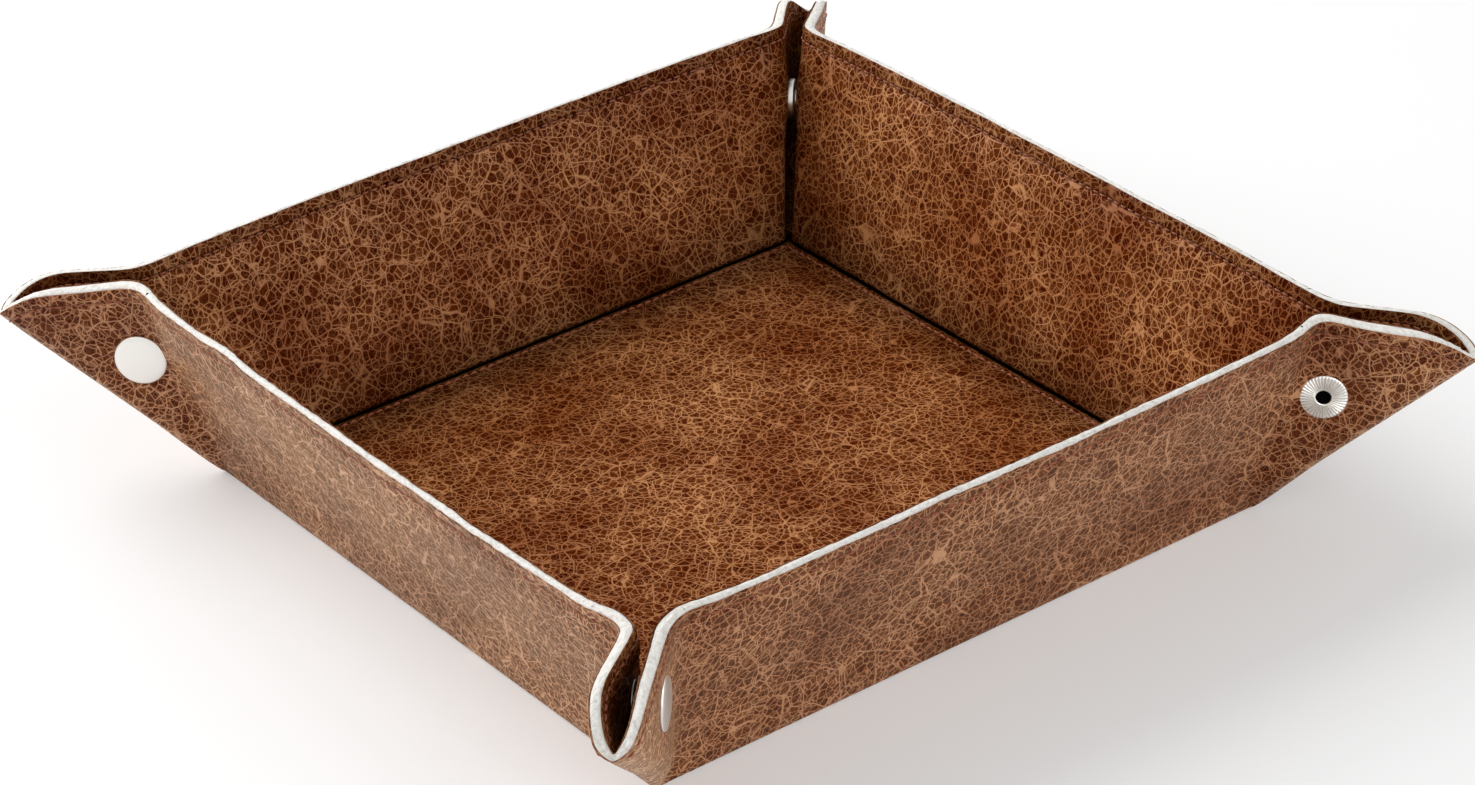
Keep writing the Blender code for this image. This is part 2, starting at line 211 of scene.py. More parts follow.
def earSection(a, x, rho, face, softness, skew):
    # section square to the fold line: u runs out along the ear, w off the diagonal plane.
    # The wall's straight line meets the ear's line, the smooth maximum rounds the fold, and a
    # quarter circle turns the ear's end round the crease.
    crease = np.maximum(a, 0) * creaseSlope
    depth = sheet["thickness"] * face
    shiftU = depth * (intoWall @ outEar)
    shiftW = depth * (intoWall @ offPlane)
    gap = ears["footGap"] + ears["mouthGrowth"] * np.maximum(a, 0)
    mouthX = -(gap + sheet["thickness"] - depth) / np.sin(earFold)
    tau = np.clip((x - mouthX) / np.maximum(crease - mouthX, tiny), 0, 1)
    inner, held = earGap(a, x, gap, tau)
    thick = sheet["thickness"] - ears["noseThinning"] * smoothStep(tau, *ears["noseRamp"])
    wide = inner + thick * (1 - face)
    wide = wide * np.tanh(ears["footTaper"] * rho / np.maximum(wide, tiny))
    fade = (1 - smoothStep(tau, *ears["skewOut"])) * smoothStep(a, *ears["skewUp"])
    wide = wide + skew * fade * (1 - held)

    noseDepth = (sheet["thickness"] - ears["noseThinning"]) * face
    tip = crease - ears["tipSetback"] * smoothStep(a, *ears["tipRamp"]) - noseDepth
    startU = shiftU - (wide - shiftW) / np.tan(earFold)
    startX = (startU - shiftU) / np.cos(earFold)
    span = tip - startU
    most, least = ears["noseSpan"]
    radius = np.minimum(ears["noseRadius"], most * np.maximum(span, least)) * (1 - face)
    radius = radius + ears["noseInside"] * face
    arc, past = ears["noseArc"]
    noseShare = np.clip(radius * arc / np.maximum(span + radius * past, tiny), *ears["noseLimits"])
    q = np.clip((x - startX) / np.maximum(crease - startX, tiny), 0, 1)
    straight = 1 - noseShare
    turn = np.clip((q - straight) / noseShare, 0, 1) * np.pi / 2
    u = np.where(q < straight, startU + (span - radius) * q / straight,
                 tip - radius + radius * np.sin(turn))
    u = np.where(x < startX, x * np.cos(earFold) + shiftU, u)

    wallW = shiftW - (u - shiftU) * np.tan(earFold)
    nose = np.cos(turn)
    least, height, most = ears["foldSoftness"]
    width = softness * np.clip(least + np.maximum(a, 0) / height, least, most)
    width = width * np.tanh(rho / ears["foldReach"]) + tiny
    lap = ears["creaseLap"] * face
    w = np.where(q < straight, smoothMax(wallW, wide, width), wide * nose - lap * (1 - nose))
    freeOfPlane = -9.0         # by the mouth nothing holds the sheet back at the diagonal plane
    return u, np.maximum(w, np.where(tau > ears["lapFrom"], -lap - ears["lapPlay"], freeOfPlane))


def foldedPoint(seamX, h, face, habit):
    # flat place (seamX along the seam, h up the sheet) to its place on the front wall or its
    # ears, with the wall's bow, its rim's dents and the roll of padding past the bottom seam
    beyond = np.abs(seamX) - half
    a = h * np.cos(foldLean) + beyond * np.sin(foldLean)
    x = beyond * np.cos(foldLean) - h * np.sin(foldLean)
    rho = np.hypot(beyond, h)
    softness, skew = (np.where(seamX > 0, habit["stud"][i], habit["cap"][i]) for i in (0, 1))
    u, w = earSection(a, x, rho, face, softness, skew)
    place = cornerPoint + a[..., None] * alongFold + u[..., None] * outEar + w[..., None] * offPlane
    widening, flatness = sheet["bowEnds"]
    share = np.clip(1 - (seamX / (half + widening * h)) ** flatness, 0, 1)    # 0 at the ears
    up = np.clip(h, 0, None) / sheet["wallHeight"]
    dents = sum((depth * np.exp(-((seamX - spot) / width) ** 2) for spot, width, depth in habit["dents"]),
                np.zeros_like(h))
    dents = dents * np.exp(-(edgeDistance(seamX, h) / sheet["dentReach"]) ** 2)
    bow = habit["bow"] * up ** sheet["bowPower"] * share + dents
    place = place - bow[..., None] * intoWall + (habit["rise"] * up ** 2 * share)[..., None] * upWall
    onEar = smoothStep(np.abs(seamX), *ears["rollRamp"])
    fade = (np.exp(-(h / sheet["rollReach"]) ** 2) * (1 - onEar)
            + np.clip(1 - h / ears["rollHeight"], 0, 1) * onEar)
    roll = sheet["bottomRoll"] * (1 - face) * fade
    place[..., 0] += roll * onEar
    place[..., 1] -= roll
    place[..., 0] *= np.where(seamX < 0, -1.0, 1.0)
    return place


def layerDepth(inset, h, along, f, flat):
    # depth below the outer face for f 0 outside to 1 inside: a quarter-round groove at the seam,
    # a rim flattened as a bell curve of its distance from the edge, and a dip at each rim stitch
    grooveEnd = np.clip(1 - h / sheet["grooveWidth"], 0, 1)
    inner = sheet["thickness"] - sheet["grooveDepth"] * (1 - np.sqrt(1 - grooveEnd ** 2))
    outer = sheet["bottomDip"] * np.clip(1 - h / sheet["bottomRound"], 0, 1) ** 2
    ripple, rate = sewing["ripple"]
    drift, driftRate = sewing["drift"]
    swell, swellRate = sewing["swell"]
    uneven = (ripple * np.sin(along * rate + drift * np.sin(along * driftRate))
              + swell * np.sin(along * swellRate + 1.0))
    pinch = flat * (1 + sewing["unevenness"] * uneven) * np.exp(-(inset / sheet["rimReach"]) ** 2)
    row = np.exp(-((inset - sheet["stitchInset"]) / sheet["stitchRow"]) ** 2)
    middle, variation = sewing["pucker"]
    pucker = middle - variation * np.cos(2 * np.pi * along / sheet["stitchPitch"])
    pinch = pinch + sheet["stitchDimple"] * row * pucker
    outer = outer + pinch
    inner = inner - pinch
    return outer + (inner - outer) * f


def sheetPoint(seamX, h, f, habit):
    # place of depth f in the sheet: between the folded outer and inner faces by its share of the
    # thickness, lifted at the seam so that wall and base meet on a mitre
    flat = habit["flat"] + (ears["flat"] - habit["flat"]) * smoothStep(np.abs(seamX), *ears["flatRamp"])
    depth = layerDepth(edgeDistance(seamX, h), h, seamX, f, flat)
    lift = (depth * mitre + sheet["seamGap"]) * np.clip(1 - h / sheet["mitreReach"], 0, 1) ** 2
    atFoot = np.exp(-((np.abs(seamX) - half) ** 2 + h ** 2) / ears["footReach"] ** 2)
    lift = lift - ears["footLap"] * atFoot * depth / sheet["thickness"]
    # what is lifted at the crease also moves out along it, so that the two halves still meet
    atCrease = np.exp(-np.maximum(h + half - np.abs(seamX), 0) / ears["creaseReach"])
    seamX = seamX + np.sign(seamX) * lift * atCrease
    shareIn = (depth / sheet["thickness"])[..., None]
    outerPlace = foldedPoint(seamX, h + lift, np.zeros_like(seamX), habit)
    innerPlace = foldedPoint(seamX, h + lift, np.ones_like(seamX), habit)
    return outerPlace * (1 - shareIn) + innerPlace * shareIn


quarterTurns = [(1, 0), (0, 1), (-1, 0), (0, -1)]    # cosine and sine of 0, 90, 180 and 270 degrees


def spin(place, quarter):
    # turn about the upright axis by quarter turns
    c, s = quarterTurns[quarter]
    return np.stack([c * place[..., 0] - s * place[..., 1], s * place[..., 0] + c * place[..., 1],
                     place[..., 2]], -1)


def uvTurn(uv, quarter):
    # flat place on the whole sheet, so that the grain runs on from panel to panel
    c, s = quarterTurns[quarter]
    return np.stack([c * uv[:, 0] + s * uv[:, 1], s * uv[:, 0] - c * uv[:, 1]], -1)


# Materials

def linear(code):
    # sRGB hex to linear colour
    value = np.array([int(code[i:i + 2], 16) for i in (1, 3, 5)]) / 255
    value = np.where(value < 0.04045, value / 12.92, ((value + 0.055) / 1.055) ** 2.4)
    return (*value, 1.0)


def addNode(tree, kind, settings=None, links=None):
    # settings: node properties, or input values by name or index; links: input to output socket
    node = tree.nodes.new(kind)
    for key, value in (settings or {}).items():
        if isinstance(key, str) and hasattr(node, key):
            setattr(node, key, value)
        else:
            node.inputs[key].default_value = value
    for key, socket in (links or {}).items():
        tree.links.new(socket, node.inputs[key])
    return node


def newMaterial(name):
    # an empty node material, with its tree and its shader
    material = bpy.data.materials.new(name)
    material.use_nodes = True
    tree = material.node_tree
    return material, tree, tree.nodes["Principled BSDF"]


# Pebble sizes are in millimetres, noise scales are per metre, edges are in cells, and reaches on
# the sheet are in metres. A pair is where a change starts and ends, or its two values.
leather = {
    "pit": "#400f01", "pitWorn": "#521b05",              # hollows of the pebbles
    "grain": "#612605", "grainWorn": "#7d4119",          # their shoulders
    "net": "#9d5d2e", "netWorn": "#cf925e",              # rubbed lines between them
    "cell": 2.3, "fineCell": 1.2, "crease": 7.5, "patch": 42.0,
    "bends": ((90.0, 0.0024), (420.0, 0.0006)),          # noise, and how far it bends the lines
    "vary": 170.0, "worn": (0.38, 0.62),
    "lineVary": (0.3, 0.7), "lineWidth": (0.045, 0.085), "lineInside": 0.01,
    "fineVary": (0.4, 0.66), "fineShare": (0.12, 0.62), "fineEdge": (0.1, 0.01),
    "creaseEdge": (0.03, 0.006), "pitEdge": (0.04, 0.2), "pitShare": (0.45, 1.15),
    "roughness": 0.55, "roughPlay": 0.08, "bump": 0.35, "relief": 0.00025,
    # painted shade darkens the colour along the dip at the rim stitches
    "stitchShade": 0.35, "stitchReach": (0.00025, 0.0008), "paintedFaceShade": 0.98,
    "rimShade": 0.74, "rimReach": (0.003, 0.0038),       # painted shade where the rim strip turns down past the stitches
    "seamShade": 0.06, "seamReach": (0.0006, 0.0026),    # painted shade in the seam round the base
    "foldShade": 0.52, "foldReach": (0.002, 0.028),      # and wider painted shade beside it, over floor and walls
    # painted shade inside the pinched corners of the ears
    "cornerShade": 0.85, "cornerReach": (0.108, 0.094),
    "polish": 0.5, "polishRoughness": 0.4, "specular": 0.0,
    "sheen": 0.0, "sheenRoughness": 0.3, "sheenTint": "#f0d4ae",
}
# Its coat, specular and sheen are real gloss.
# are painted light, a lit copy of the inside's colours, whose face tone is painted a little darker.
# the outside is the same leather as the inside: its paler net, lighter stitch shade and full face tone
litOuterLeather = {**leather, "net": "#a4673a", "netWorn": "#cf9668", "stitchShade": 0.7, "paintedFaceShade": 1.0,
                "polish": 1.0, "specular": 0.05, "sheen": 0.45, "sheenRoughness": 0.42}


def makeLeather(name, look, isInside):
    # PU faux leather, embossed with a pebble grain and rubbed: dark pebbles in a net of worn,
    # polished lines, crossed by longer creases. The lines shine and turn pale at grazing angles.
    material, tree, shader = newMaterial(name)
    place = addNode(tree, "ShaderNodeUVMap", {"uv_map": "flatSheet"}).outputs[0]
    bent = place
    for scale, push in look["bends"]:
        noise = addNode(tree, "ShaderNodeTexNoise", {"Scale": scale, "Detail": 2.0}, {"Vector": bent})
        centred = addNode(tree, "ShaderNodeVectorMath", {"operation": "SUBTRACT", 1: (0.5, 0.5, 0.5)},
                          {0: noise.outputs["Color"]})
        move = addNode(tree, "ShaderNodeVectorMath", {"operation": "SCALE", "Scale": push},
                       {0: centred.outputs[0]})
        bent = addNode(tree, "ShaderNodeVectorMath", {"operation": "ADD"},
                       {0: bent, 1: move.outputs[0]}).outputs[0]
    edges = {}
    for key in ("cell", "fineCell", "crease"):
        edges[key] = addNode(tree, "ShaderNodeTexVoronoi", {"feature": "DISTANCE_TO_EDGE",
                             "Scale": 1000 / look[key]}, {"Vector": bent}).outputs["Distance"]
    pebble = addNode(tree, "ShaderNodeTexVoronoi", {"Scale": 1000 / look["cell"]}, {"Vector": bent})
    pebbleTone = addNode(tree, "ShaderNodeSeparateColor", {}, {0: pebble.outputs["Color"]}).outputs[0]
    patch = addNode(tree, "ShaderNodeTexNoise", {"Scale": 1000 / look["patch"], "Detail": 4.0,
                    "Roughness": 0.55}, {"Vector": place}).outputs[0]
    vary = addNode(tree, "ShaderNodeTexNoise", {"Scale": look["vary"], "Detail": 3.0},
                   {"Vector": place}).outputs[0]

    # shares: what each is measured by, where it starts and ends, its values there and its shape
    whole = (0.0, 1.0)
    shares = {
        "lineWidth": (vary, look["lineVary"], look["lineWidth"], "LINEAR"),
        "fineShare": (vary, look["fineVary"], look["fineShare"], "LINEAR"),
        "fineLine": (edges["fineCell"], look["fineEdge"], whole, "SMOOTHSTEP"),
        "creaseLine": (edges["crease"], look["creaseEdge"], whole, "SMOOTHSTEP"),
        "pit": (edges["cell"], look["pitEdge"], whole, "SMOOTHSTEP"),
        "pitShare": (pebbleTone, whole, look["pitShare"], "LINEAR"),
        "worn": (patch, look["worn"], whole, "LINEAR"),
    }
    for key, (measure, (start, end), (low, high), shape) in shares.items():
        shares[key] = addNode(tree, "ShaderNodeMapRange", {
            "interpolation_type": shape, "From Min": start, "From Max": end, "To Min": low,
            "To Max": high}, {"Value": measure}).outputs[0]

    # the net: lines of uneven width round the pebbles, finer ones in places, and long creases.
    # The pits are the middles of the pebbles, some deeper than others.
    net = addNode(tree, "ShaderNodeMapRange", {
        "interpolation_type": "SMOOTHSTEP", "From Max": look["lineInside"]},
        {"Value": edges["cell"], "From Min": shares["lineWidth"]}).outputs[0]
    fineNet = addNode(tree, "ShaderNodeMath", {"operation": "MULTIPLY"},
                      {0: shares["fineLine"], 1: shares["fineShare"]}).outputs[0]
    for more in (fineNet, shares["creaseLine"]):
        net = addNode(tree, "ShaderNodeMath", {"operation": "MAXIMUM"}, {0: net, 1: more}).outputs[0]
    pit = addNode(tree, "ShaderNodeMath", {"operation": "MULTIPLY"},
                  {0: shares["pit"], 1: shares["pitShare"]}).outputs[0]

    # each tone is paler in worn patches
    tones = {key: addNode(tree, "ShaderNodeMix", {
        "data_type": "RGBA", 6: linear(look[key]), 7: linear(look[key + "Worn"])},
        {0: shares["worn"]}).outputs[2] for key in ("pit", "grain", "net")}
    colour = addNode(tree, "ShaderNodeMix", {"data_type": "RGBA"},
                     {0: pit, 6: tones["grain"], 7: tones["pit"]}).outputs[2]
    colour = addNode(tree, "ShaderNodeMix", {"data_type": "RGBA"},
                     {0: net, 6: colour, 7: tones["net"]}).outputs[2]

    # distance in from the cut edge, round the sheet's corners too
    spread = addNode(tree, "ShaderNodeVectorMath", {"operation": "ABSOLUTE"}, {0: place})
    straight = cornerStart * metre
    past = addNode(tree, "ShaderNodeVectorMath", {"operation": "SUBTRACT", 1: (straight, straight, 0)},
                   {0: spread.outputs[0]})
    past = addNode(tree, "ShaderNodeVectorMath", {"operation": "MAXIMUM", 1: (0, 0, 0)},
                   {0: past.outputs[0]})
    reach = addNode(tree, "ShaderNodeVectorMath", {"operation": "LENGTH"}, {0: past.outputs[0]})
    inset = addNode(tree, "ShaderNodeMath", {"operation": "SUBTRACT", 0: sheet["cornerRadius"] * metre},
                    {1: reach.outputs["Value"]}).outputs[0]
    stitchLine = (sheet["stitchInset"] - 0.1) * metre    # the painted shade of the stitches' dip lies just outside the thread
    offStitch = addNode(tree, "ShaderNodeMath", {"operation": "SUBTRACT", 1: stitchLine}, {0: inset})
    offStitch = addNode(tree, "ShaderNodeMath", {"operation": "ABSOLUTE"},
                        {0: offStitch.outputs[0]}).outputs[0]
    # painted shades: what each is measured by, where it starts and ends, and how dark and how light it is
    shades = [(offStitch, look["stitchReach"], look["stitchShade"], look["paintedFaceShade"])]
    if isInside:
        shades.append((inset, look["rimReach"], look["rimShade"], 1.0))
        flat = addNode(tree, "ShaderNodeSeparateXYZ", {}, {0: spread.outputs[0]})
        ragged = addNode(tree, "ShaderNodeVectorMath", {"operation": "ABSOLUTE"}, {0: bent})
        ragged = addNode(tree, "ShaderNodeSeparateXYZ", {}, {0: ragged.outputs[0]})
        # painted shade in the base seam, on noise-bent places so that its edges are ragged, and wider
        # painted shade beside it
        for key, split in (("seam", ragged), ("fold", flat)):
            far = addNode(tree, "ShaderNodeMath", {"operation": "MAXIMUM"},
                          {0: split.outputs[0], 1: split.outputs[1]})
            away = addNode(tree, "ShaderNodeMath", {"operation": "SUBTRACT", 1: half * metre},
                           {0: far.outputs[0]})
            gap = addNode(tree, "ShaderNodeMath", {"operation": "ABSOLUTE"}, {0: away.outputs[0]})
            shades.append((gap.outputs[0], look[f"{key}Reach"], look[f"{key}Shade"], 1.0))
        # painted shade in the ears' pinched corners, where the flat place is far out along both axes
        near = addNode(tree, "ShaderNodeMath", {"operation": "MINIMUM"},
                       {0: flat.outputs[0], 1: flat.outputs[1]})
        shades.append((near.outputs[0], look["cornerReach"], look["cornerShade"], 1.0))
    for measure, (start, end), dark, light in shades:
        shade = addNode(tree, "ShaderNodeMapRange", {
            "interpolation_type": "SMOOTHSTEP", "From Min": start, "From Max": end, "To Min": dark,
            "To Max": light}, {"Value": measure}).outputs[0]
        colour = addNode(tree, "ShaderNodeMix", {"data_type": "RGBA", "blend_type": "MULTIPLY", 0: 1.0},
                         {6: colour, 7: shade}).outputs[2]
        net = addNode(tree, "ShaderNodeMath", {"operation": "MULTIPLY"}, {0: net, 1: shade}).outputs[0]

    rough = addNode(tree, "ShaderNodeMapRange", {
        "To Min": look["roughness"] + look["roughPlay"],
        "To Max": look["roughness"] - look["roughPlay"]}, {"Value": net}).outputs[0]
    relief = addNode(tree, "ShaderNodeMath", {"operation": "SUBTRACT"}, {0: net, 1: pit}).outputs[0]
    bump = addNode(tree, "ShaderNodeBump", {"Strength": look["bump"], "Distance": look["relief"]},
                   {"Height": relief})
    polish = addNode(tree, "ShaderNodeMath", {"operation": "MULTIPLY", 1: look["polish"]}, {0: net})
    tree.links.new(colour, shader.inputs["Base Color"])
    tree.links.new(rough, shader.inputs["Roughness"])
    tree.links.new(bump.outputs[0], shader.inputs["Normal"])
    tree.links.new(polish.outputs[0], shader.inputs["Coat Weight"])
    shader.inputs["Coat Roughness"].default_value = look["polishRoughness"]
    shader.inputs["Specular IOR Level"].default_value = look["specular"]
    shader.inputs["Sheen Weight"].default_value = look["sheen"]
    shader.inputs["Sheen Roughness"].default_value = look["sheenRoughness"]
    shader.inputs["Sheen Tint"].default_value = linear(look["sheenTint"])
    return material


feltLook = {"shadow": "#d9d2c8", "fibre": "#f6f3ee", "scale": 800.0, "bump": 0.8, "relief": 0.0006,
            "roughness": 0.95, "sheen": 0.2, "ramp": (0.3, 0.56)}


def makeFelt(name):
    # needle-punched polyester felt: off-white, matt, with loose fibres and grey specks; the grey is
    # painted shade where the fibres' bump lies low
    material, tree, shader = newMaterial(name)
    place = addNode(tree, "ShaderNodeUVMap", {"uv_map": "flatSheet"})
    fibre = addNode(tree, "ShaderNodeTexNoise", {"Scale": feltLook["scale"], "Detail": 4.0,
                    "Roughness": 0.6}, {"Vector": place.outputs[0]})
    ramp = addNode(tree, "ShaderNodeMapRange", {"From Min": feltLook["ramp"][0],
                   "From Max": feltLook["ramp"][1]}, {"Value": fibre.outputs[0]})
    colour = addNode(tree, "ShaderNodeMix", {"data_type": "RGBA", 6: linear(feltLook["shadow"]),
                     7: linear(feltLook["fibre"])}, {0: ramp.outputs[0]})
    bump = addNode(tree, "ShaderNodeBump", {"Strength": feltLook["bump"],
                   "Distance": feltLook["relief"]}, {"Height": fibre.outputs[0]})
    tree.links.new(colour.outputs[2], shader.inputs["Base Color"])
    tree.links.new(bump.outputs[0], shader.inputs["Normal"])
    shader.inputs["Roughness"].default_value = feltLook["roughness"]
    shader.inputs["Sheen Weight"].default_value = feltLook["sheen"]
    return material


threadLook = {"dark": "#7d321a", "light": "#ab6542", "scale": 400.0, "roughness": 0.6}


def makeThread(name):
    # bonded polyester thread: rust brown, with uneven dye
    material, tree, shader = newMaterial(name)
    place = addNode(tree, "ShaderNodeTexCoord")
    tone = addNode(tree, "ShaderNodeTexNoise", {"Scale": threadLook["scale"], "Detail": 2.0},
                   {"Vector": place.outputs["Object"]})
    colour = addNode(tree, "ShaderNodeMix", {"data_type": "RGBA", 6: linear(threadLook["dark"]),
                     7: linear(threadLook["light"])}, {0: tone.outputs[0]})
    tree.links.new(colour.outputs[2], shader.inputs["Base Color"])
    shader.inputs["Roughness"].default_value = threadLook["roughness"]
    return material


nickelLook = {"marks": 900.0, "smoother": 0.05, "rougher": 0.08}


def makeNickel(name, code, roughness):
    # nickel-plated brass, satin: a soft even sheen with faint polishing marks
    material, tree, shader = newMaterial(name)
    place = addNode(tree, "ShaderNodeTexCoord")
    marks = addNode(tree, "ShaderNodeTexNoise", {"Scale": nickelLook["marks"], "Detail": 2.0},
                    {"Vector": place.outputs["Object"]})
    rough = addNode(tree, "ShaderNodeMapRange", {
        "To Min": roughness - nickelLook["smoother"], "To Max": roughness + nickelLook["rougher"]},
        {"Value": marks.outputs[0]})
    tree.links.new(rough.outputs[0], shader.inputs["Roughness"])
    shader.inputs["Base Color"].default_value = linear(code)
    shader.inputs["Metallic"].default_value = 1.0
    return material


# one leather in two materials: the inside's colours painted a little darker, the outside's painted lighter
inside = makeLeather("faux leather, inside", leather, True)
outside = makeLeather("faux leather, outside, painted lighter", litOuterLeather, False)
felt = makeFelt("needle felt")
thread = makeThread("bonded thread")
satinNickel = makeNickel("satin nickel plate", "#ebe8e3", 0.36)
pressedNickel = makeNickel("pressed nickel plate", "#dcd8d0", 0.32)
# painted shadow: black where the post's bore looks into the snap
paintedBoreShadow = makeNickel("painted shadow in the bore", "#0c0b0a", 0.8)
print("materials made")


# Meshes
sharpAngle = np.radians(65)


def makeMesh(name, points, faces, uv, materials, body, indices=None):
    # a piece from its points in millimetres and its quads, riding on body if one is given
    mesh = bpy.data.meshes.new(name)
    mesh.from_pydata((points * metre).tolist(), [], faces.tolist())
    mesh.polygons.foreach_set("use_smooth", np.ones(len(faces), bool))
    if uv is not None:
        layer = mesh.uv_layers.new(name="flatSheet")
        corner = np.zeros(len(mesh.loops), np.int32)
        mesh.loops.foreach_get("vertex_index", corner)
        layer.data.foreach_set("uv", (uv[corner] * metre).astype(np.float32).ravel())
    mesh.set_sharp_from_angle(angle=sharpAngle)
    for material in materials:
        mesh.materials.append(material)
    if indices is not None:
        mesh.polygons.foreach_set("material_index", indices)
    obj = bpy.data.objects.new(name, mesh)
    bpy.context.scene.collection.objects.link(obj)
    if body:
        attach(obj, body)
    return obj


def gridFaces(index):
    # quads between the neighbours of a grid of point numbers
    return np.stack([index[:-1, :-1], index[:-1, 1:], index[1:, 1:], index[1:, :-1]], -1).reshape(-1, 4)


def tubeFaces(index):
    # the same where each row runs round and closes
    following = np.roll(index, -1, 1)
    return np.stack([index[:-1], following[:-1], following[1:], index[1:]], -1).reshape(-1, 4)


def slab(under, over, rim):
    # closed solid: two grids of rows by columns, rim rows joining their last rows, end faces
    columns = under.shape[1]
    loop = np.concatenate([under, rim, over[::-1]])
    index = np.arange(len(loop) * columns).reshape(len(loop), columns)
    faces = [gridFaces(index)]
    faces.append(np.stack([index[-1, :-1], index[-1, 1:], index[0, 1:], index[0, :-1]], -1))
    pairs = len(loop) // 2
    for column, flip in ((0, False), (columns - 1, True)):
        low, high = index[:pairs, column], index[::-1, column][:pairs]
        cap = np.stack([low[:-1], low[1:], high[1:], high[:-1]], -1)
        faces.append(cap[:, ::-1] if flip else cap)
    return loop.reshape(-1, loop.shape[-1]), np.concatenate(faces), index


def outward(points, faces):
    # turn all faces round if the solid comes out inside out, by the sign of its volume
    a, b, c, d = (points[faces[:, i]] for i in range(4))
    volume = np.einsum("ij,ij->i", a, np.cross(b, c)) + np.einsum("ij,ij->i", a, np.cross(c, d))
    return faces if volume.sum() > 0 else faces[:, ::-1]


# Each layer from its outer to its inner depth, and how far its cut edge bulges
layers = {
    "outer_skin": (0.0, sheet["skin"], 0.08),
    "core": (sheet["skin"] + sheet["glue"], sheet["thickness"] - sheet["skin"] - sheet["glue"], 0.45),
    "inner_skin": (sheet["thickness"] - sheet["skin"], sheet["thickness"], 0.08),
}
layerLooks = {"outer_skin": [outside], "core": [felt, inside], "inner_skin": [inside]}

# Rows and columns, close together where the sheet turns
grid = {
    "footRows": [0, 0.15, 0.4, 0.8, 1.3, 1.9, 2.6, 3.4, 4.4, 5.8, 7.6],
    "wallRows": [(10, 52, 18), (54, 60, 7), (60.6, 65, 9)],    # first, last and how many
    "wallColumns": 130,
    "earColumns": 52,
    "earCrowding": 1.35,       # towards the crease
    "baseEdges": [0, 0.15, 0.4, 0.8, 1.3, 1.9, 2.6, 3.4, 4.4, 5.8, 8.0],
    "baseInner": 11,
    "baseColumns": 80,
    "rimRows": 4,
}
rowHeights = np.concatenate([grid["footRows"]] + [np.linspace(*rows) for rows in grid["wallRows"]])
rowHeights = rowHeights / sheet["wallHeight"]

# Tufts and dips of the cut felt, as shares of its bulge and of its thickness
cutFelt = {"fullness": 0.85, "tufts": 0.5, "tuftLimit": 1.5, "sideways": 0.14, "isRough": 0.2,
           "edgeRun": 3.0, "endRun": 2.5}
chance = np.random.default_rng(7)


def rimRowsBetween(outerRow, innerRow, uvOuter, bulge, pushOut):
    # rows round the cut edge: straight from the outer to the inner face, bulging as a parabola
    count = grid["rimRows"]
    steps = np.arange(1, count + 1)[:, None, None] / (count + 1)
    swell = bulge * 4 * steps * (1 - steps)
    if bulge > cutFelt["isRough"]:
        limit = cutFelt["tuftLimit"]
        tufts = chance.standard_normal((count, outerRow.shape[0], 1)).clip(-limit, limit)
        swell = swell * (cutFelt["fullness"] + cutFelt["tufts"] * tufts)
        sideways = cutFelt["sideways"] * chance.standard_normal((count, outerRow.shape[0], 1))
        steps = steps + sideways * steps * (1 - steps)
    rows = outerRow + (innerRow - outerRow) * steps + pushOut * swell
    uv = uvOuter + np.array([0.0, 1.0]) * steps * cutFelt["edgeRun"]
    return rows, uv


def panelSolid(seamX, h, layer, habit):
    # one layer of a flat patch as a closed solid, with the flat patch as its UVs
    low, high, bulge = layers[layer]
    under, over = (sheetPoint(seamX, h, np.full_like(seamX, depth / sheet["thickness"]), habit)
                   for depth in (low, high))
    middle = (under + over) / 2
    pushOut = middle[-1] - middle[-2]
    pushOut = pushOut / np.linalg.norm(pushOut, axis=-1, keepdims=True)
    uv = np.stack([seamX, h], -1)
    rim, rimUv = rimRowsBetween(under[-1], over[-1], uv[-1], bulge, pushOut)
    points, faces, index = slab(under, over, rim)
    acrossEnd = np.array([cutFelt["endRun"], 0.0]) if layer == "core" else 0.0
    flatUv = slab(uv, uv + acrossEnd, rimUv)[0]
    ends = np.zeros(len(faces), np.int32)    # the felt's end faces, at a fold, are dark as leather
    ends[(index.shape[0] - 1) * (index.shape[1] - 1):] = layer == "core"
    return points, outward(points, faces), flatUv, ends


def makeLayers(panel, seamX, h, quarter):
    # the three layers of a wall or an ear half, each in place of its CAD node
    made = []
    for layer in layers:
        points, faces, uv, ends = panelSolid(seamX, h, layer, habits[walls[quarter]])
        uv = uvTurn(uv + np.array([0.0, half]), quarter)
        obj = makeMesh(f"{panel}_{layer}_sheet", spin(points, quarter), faces, uv, layerLooks[layer],
                       None, ends)
        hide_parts(f"{panel}_{layer}")
        made.append(obj)
    return made


def borderX(h):
    # where the wall's own panel ends: a line parallel to the ear's fold
    return half + (ears["border"] + h * np.sin(foldLean)) / np.cos(foldLean)


def earDomain(side):
    # flat patch between the border line, the cut edge, the crease and the seam: the sum of the
    # blends between opposite edges, less the blend of the four corners
    i = rowHeights[:, None]
    t = np.linspace(0, 1, grid["earColumns"])[None, :]
    j = 1 - (1 - t) ** grid["earCrowding"]
    tall = sheet["wallHeight"]
    first = borderX(tall) / (cornerStart + sheet["cornerRadius"] * np.pi / 4)
    topX, topH = rimLine(first + (1 - first) * j)
    bottomX = borderX(0.0) + (half - borderX(0.0)) * j
    creaseX, creaseH = rimLine(np.array(1.0))
    leftX, leftH = borderX(i * tall), i * tall
    rightX, rightH = half + (creaseX - half) * i, creaseH * i
    seamX = ((1 - i) * bottomX + i * topX + (1 - j) * leftX + j * rightX
             - ((1 - i) * ((1 - j) * borderX(0.0) + j * half)
                + i * ((1 - j) * borderX(tall) + j * creaseX)))
    h = i * topH + (1 - j) * leftH + j * rightH - i * ((1 - j) * tall + j * creaseH)
    return seamX * side, h


